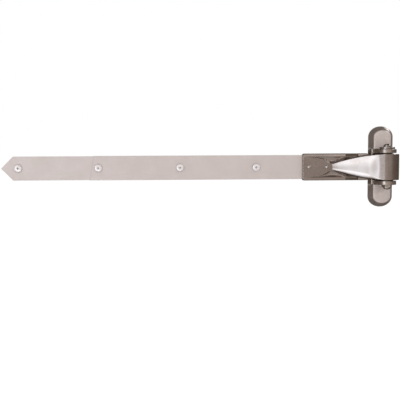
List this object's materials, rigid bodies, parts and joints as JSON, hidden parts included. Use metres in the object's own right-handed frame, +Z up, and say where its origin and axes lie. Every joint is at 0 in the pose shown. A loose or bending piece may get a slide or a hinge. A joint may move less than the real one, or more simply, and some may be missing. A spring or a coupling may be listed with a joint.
{
  "type": "gate hinge",
  "caption": "Long strap hinge for a gate: a spear-pointed flat bar riveted into a sculpted casting whose barrel turns on a pin between two ears of an oval post bracket.",
  "frame": {"origin": "centre of the oval post bracket's flat back face", "axes": "+Z up along the hinge pin, +Y into the post and gate, -X along the closed bar towards its point, so the front faces -Y"},
  "size_m": [0.6422, 0.0884, 0.1334],
  "materials": {
    "cast_nickel": "polished casting with a warm nickel tint",
    "cover_nickel": "satin cast cover with a warm nickel tint",
    "bar_steel": "matt rolled steel, faintly mottled",
    "screw_zinc": "bright zinc plate",
    "pin_steel": "bright turned steel",
    "bushing_bronze": "plain bearing bronze"
  },
  "bodies": {
    "post_side": {"post_bracket": "cast_nickel", "upper_cover": "cover_nickel", "lower_cover": "cover_nickel", "bracket_screw_1": "screw_zinc", "bracket_screw_2": "screw_zinc", "bracket_screw_3": "screw_zinc", "bracket_screw_4": "screw_zinc", "hinge_pin": "pin_steel", "pin_washer": "pin_steel", "pin_nut": "pin_steel"},
    "gate_side": {"strap_casting": "cast_nickel", "strap_bar": "bar_steel", "casting_rivet_1": "pin_steel", "casting_rivet_2": "pin_steel", "strap_screw_1": "screw_zinc", "strap_screw_2": "screw_zinc", "strap_screw_3": "screw_zinc", "strap_screw_4": "screw_zinc", "upper_bushing": "bushing_bronze", "lower_bushing": "bushing_bronze"}
  },
  "joints": [
    {"name": "gate_swing", "type": "hinge", "parent": "post_side", "child": "gate_side", "pos_m": [0, -0.036, 0], "axis": [0, 0, 1], "range_deg": [0, 180]}
  ]
}
